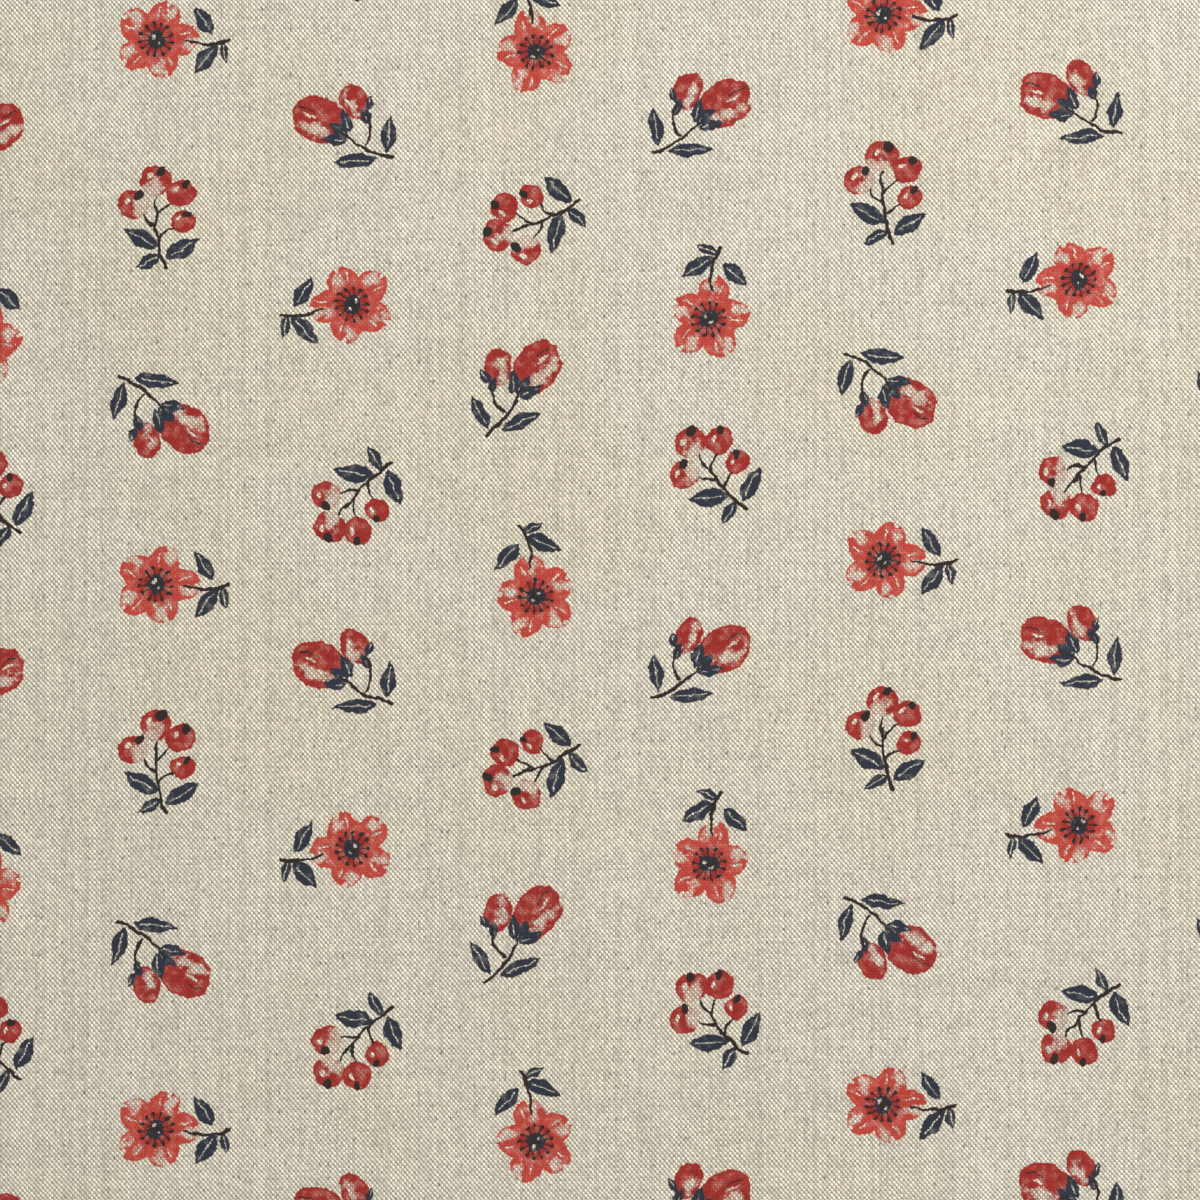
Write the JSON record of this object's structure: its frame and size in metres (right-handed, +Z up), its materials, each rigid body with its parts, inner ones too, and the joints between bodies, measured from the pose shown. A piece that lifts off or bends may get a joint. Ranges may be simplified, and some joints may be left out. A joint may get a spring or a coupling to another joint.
{
  "type": "printed linen-look cloth piece",
  "caption": "Flat rectangular piece of plain-woven linen-look canvas, printed all over, laid face up, with a woven selvedge at one end and frayed cut edges.",
  "frame": {"origin": "on the floor, under the middle of the piece", "axes": "+Z up out of the printed face, +X along the weft from the selvedge end to the cut end, +Y along the warp"},
  "size_m": [0.7, 0.5, 0.0103],
  "materials": {
    "printed_canvas": "plain weave of cream warp and grey-beige weft, matt, printed in red and navy on the face",
    "plain_selvedge": "close plain weave, matt, unprinted",
    "loose_yarn": "spun yarn, matt and slightly hairy"
  },
  "bodies": {
    "root": {"canvas": "printed_canvas", "selvedge": "plain_selvedge", "fringe_front": "loose_yarn", "fringe_back": "loose_yarn", "fringe_cut_side": "loose_yarn", "fringe_selvedge": "loose_yarn"}
  },
  "joints": []
}
